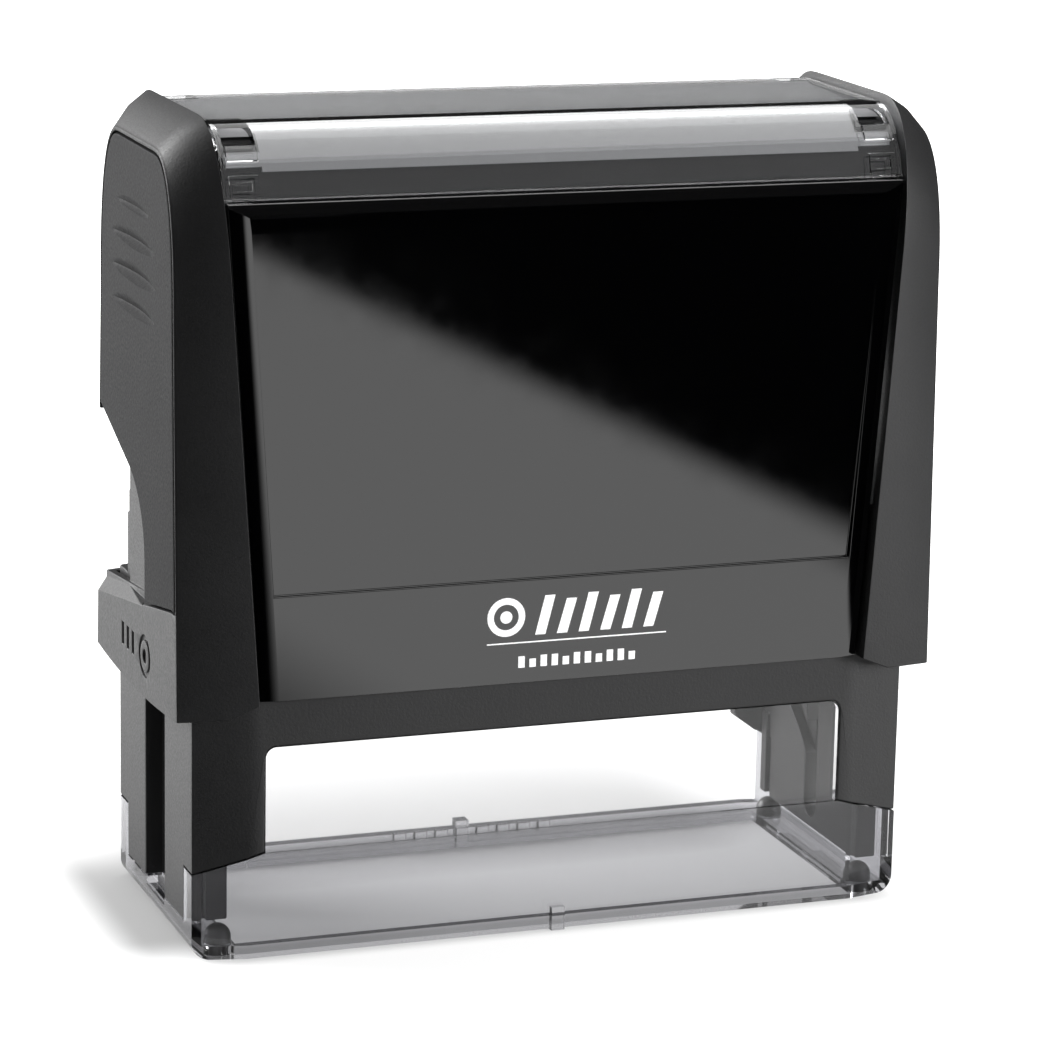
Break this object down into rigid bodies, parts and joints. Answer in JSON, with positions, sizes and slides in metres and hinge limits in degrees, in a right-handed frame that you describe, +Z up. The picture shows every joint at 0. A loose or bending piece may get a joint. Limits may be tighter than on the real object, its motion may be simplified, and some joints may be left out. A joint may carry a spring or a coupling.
{
  "type": "self inking stamp",
  "caption": "Hand stamp with a clear foot, a sprung cap, a text plate that turns over as the cap is pressed, a slide-out ink pad and an index window.",
  "frame": {"origin": "middle of the foot's underside, on the paper", "axes": "+X along the stamp's long side, -Y towards the front with the glossy panel and window, +Z up"},
  "size_m": [0.0886, 0.0388, 0.0923],
  "materials": {
    "matte_black": "matt, fine grain",
    "gloss_black": "high gloss",
    "soft_grip": "matt, fine grain",
    "cartridge_black": "satin",
    "smoke_clear": "clear, smoke grey",
    "clear": "clear, polished",
    "soft_rubber": "matt",
    "felt": "inked felt",
    "foam": "matt foam",
    "die_rubber": "matt",
    "card": "matt card",
    "spring_steel": "bright drawn wire"
  },
  "bodies": {
    "base": {"frame": "matte_black", "clear_foot": "smoke_clear", "corner_feet": "soft_rubber", "left_return_spring": "spring_steel", "right_return_spring": "spring_steel"},
    "cap": {"cap_body": "matte_black", "front_panel": "gloss_black", "rear_panel": "gloss_black", "left_grip": "soft_grip", "right_grip": "soft_grip", "yoke": "matte_black", "index_card": "card"},
    "text_plate": {"text_plate_carrier": "cartridge_black", "die_foam": "foam", "text_die": "die_rubber"},
    "cartridge": {"ink_cartridge": "cartridge_black", "ink_pad": "felt"},
    "window": {"index_window": "clear"},
    "left_lock": {"left_lock_button": "soft_grip"},
    "right_lock": {"right_lock_button": "soft_grip"}
  },
  "joints": [
    {"name": "cap_press", "type": "slide", "parent": "base", "child": "cap", "axis": [0, 0, -1], "range_m": [0, 0.0235], "stiffness_N_per_m": 600, "springref_m": -0.008, "deforming": ["left_return_spring", "right_return_spring"]},
    {"name": "plate_turn", "type": "hinge", "parent": "cap", "child": "text_plate", "pos_m": [0, 0, 0.0299], "axis": [1, 0, 0], "range_deg": [0, 180]},
    {"name": "cartridge_slide", "type": "slide", "parent": "base", "child": "cartridge", "axis": [0, -1, 0], "range_m": [-0.04, 0]},
    {"name": "window_lift", "type": "slide", "parent": "cap", "child": "window", "axis": [0, 0, 1], "range_m": [0, 0.012]},
    {"name": "left_lock_press", "type": "slide", "parent": "cap", "child": "left_lock", "axis": [0, -1, 0], "range_m": [0, 0.0012]},
    {"name": "right_lock_press", "type": "slide", "parent": "cap", "child": "right_lock", "axis": [0, -1, 0], "range_m": [0, 0.0012]}
  ],
  "couplings": [
    {"joint": "plate_turn", "follows": "cap_press", "rad_per_m": 133.68}
  ]
}
